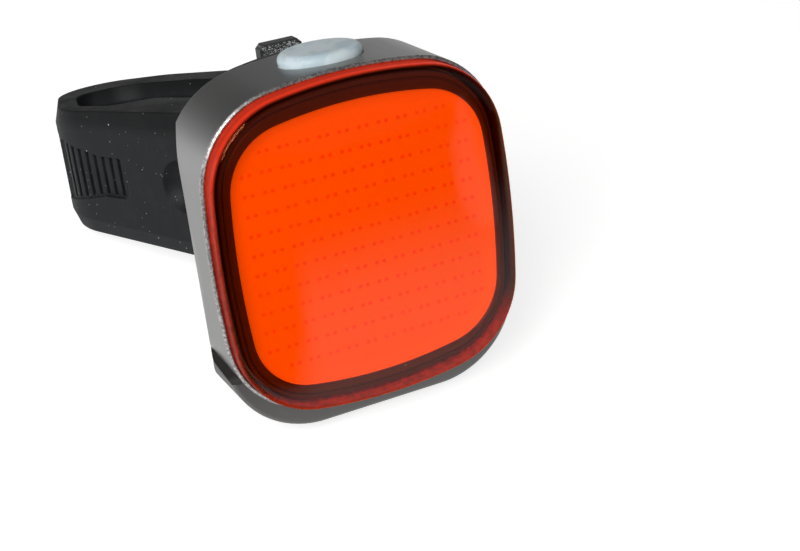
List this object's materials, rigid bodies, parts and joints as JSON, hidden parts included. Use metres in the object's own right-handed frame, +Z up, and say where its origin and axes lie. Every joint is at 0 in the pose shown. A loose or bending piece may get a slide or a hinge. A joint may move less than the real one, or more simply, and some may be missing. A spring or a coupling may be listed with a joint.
{
  "type": "rear bicycle light",
  "caption": "Rear bicycle light: a square red LED panel in a grey metal housing with a button on top, held round the post by a rubber strap.",
  "frame": {"origin": "on the axis of the bicycle post that the strap goes round, level with the middle of the LED grid", "axes": "+Z up along the post; the light faces -Y, away from the post; +X is to the right for somebody who looks at the lens"},
  "size_m": [0.0503, 0.0864, 0.0537],
  "materials": {
    "housing": "satin metallic grey",
    "lens": "clear red, moulded",
    "black_rubber": "matte",
    "black_plastic": "matte",
    "board_metal": "white solder mask on metal",
    "led_dots": "small dies under silicone",
    "orange_sheet": "satin silicone",
    "cell_foil": "foil pouch",
    "foam": "closed-cell foam",
    "green_board": "solder mask",
    "chip_black": "moulded",
    "coil_dark": "ferrite",
    "indicator": "clear",
    "switch_metal": "satin",
    "plunger": "matte",
    "button_silicone": "milky, translucent",
    "socket_steel": "satin",
    "screw_steel": "blackened",
    "tab_plastic": "coarse grain",
    "pin_steel": "satin",
    "strap_rubber": "matte"
  },
  "bodies": {
    "light": {"housing_shell": "housing", "front_lens": "lens", "lens_gasket": "black_rubber", "bezel_mask": "black_plastic", "led_board": "board_metal", "led_chips": "led_dots", "phosphor_sheet": "orange_sheet", "inner_frame": "black_plastic", "battery": "cell_foil", "battery_pad": "foam", "main_board": "green_board", "driver_chip": "chip_black", "driver_coil": "coil_dark", "indicator_led": "indicator", "tact_switch": "switch_metal", "usb_socket": "socket_steel", "rear_cover": "black_plastic", "cover_seal": "black_rubber", "cover_screws": "screw_steel", "bracket": "black_plastic", "strap_pin": "pin_steel", "strap": "strap_rubber"},
    "button": {"power_button": "button_silicone", "switch_plunger": "plunger"},
    "flap": {"port_cover": "black_rubber"},
    "tab": {"release_tab": "tab_plastic"}
  },
  "joints": [
    {"name": "button_press", "type": "slide", "parent": "light", "child": "button", "axis": [0, 0, -1], "range_m": [0, 0.0005], "stiffness_N_per_m": 1200, "springref_m": -0.0004},
    {"name": "flap_hinge", "type": "hinge", "parent": "light", "child": "flap", "pos_m": [0, -0.0435, -0.0208], "axis": [-1, 0, 0], "range_deg": [0, 110]},
    {"name": "tab_flex", "type": "hinge", "parent": "light", "child": "tab", "pos_m": [0, -0.03805, 0.00305], "axis": [-1, 0, 0], "range_deg": [0, 10], "stiffness_Nm_per_rad": 0.2, "springref_deg": -2.86}
  ]
}
